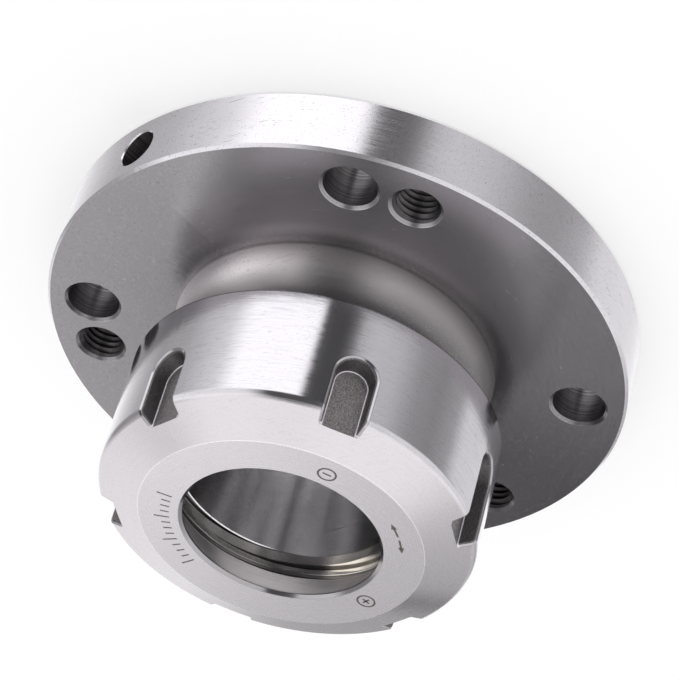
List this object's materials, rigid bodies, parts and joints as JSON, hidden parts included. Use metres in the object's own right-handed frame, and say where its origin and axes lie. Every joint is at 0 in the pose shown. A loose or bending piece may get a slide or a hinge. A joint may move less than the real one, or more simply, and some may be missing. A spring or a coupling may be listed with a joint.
{
  "type": "collet chuck",
  "caption": "Flange-mounted lathe collet chuck: steel body with an 8 degree collet socket, slotted screw-on clamping nut and eccentric extraction ring.",
  "frame": {"origin": "centre of the flange's back face, on the chuck's axis", "axes": "+Z along the axis from the back face towards the nut's nose; +X near the rim hole, midway between two plain holes"},
  "size_m": [0.1, 0.1, 0.0507],
  "materials": {
    "turned_steel": "fine turned and ground, satin",
    "nut_steel": "hardened, ground bright, milled slots matt",
    "ring_steel": "hardened, polished, slight straw tint"
  },
  "bodies": {
    "body": {"chuck_body": "turned_steel"},
    "ring": {"extraction_ring": "ring_steel"},
    "nut": {"clamping_nut": "nut_steel"}
  },
  "joints": [
    {"name": "nut_travel", "type": "slide", "parent": "body", "child": "ring", "axis": [0, 0, 1], "range_m": [0, 0.0075]},
    {"name": "nut_turn", "type": "hinge", "parent": "ring", "child": "nut", "pos_m": [0, 0, 0.038], "axis": [0, 0, 1], "range_deg": [0, 1800]}
  ],
  "couplings": [
    {"joint": "nut_travel", "follows": "nut_turn", "m_per_rad": 0.00023873}
  ]
}
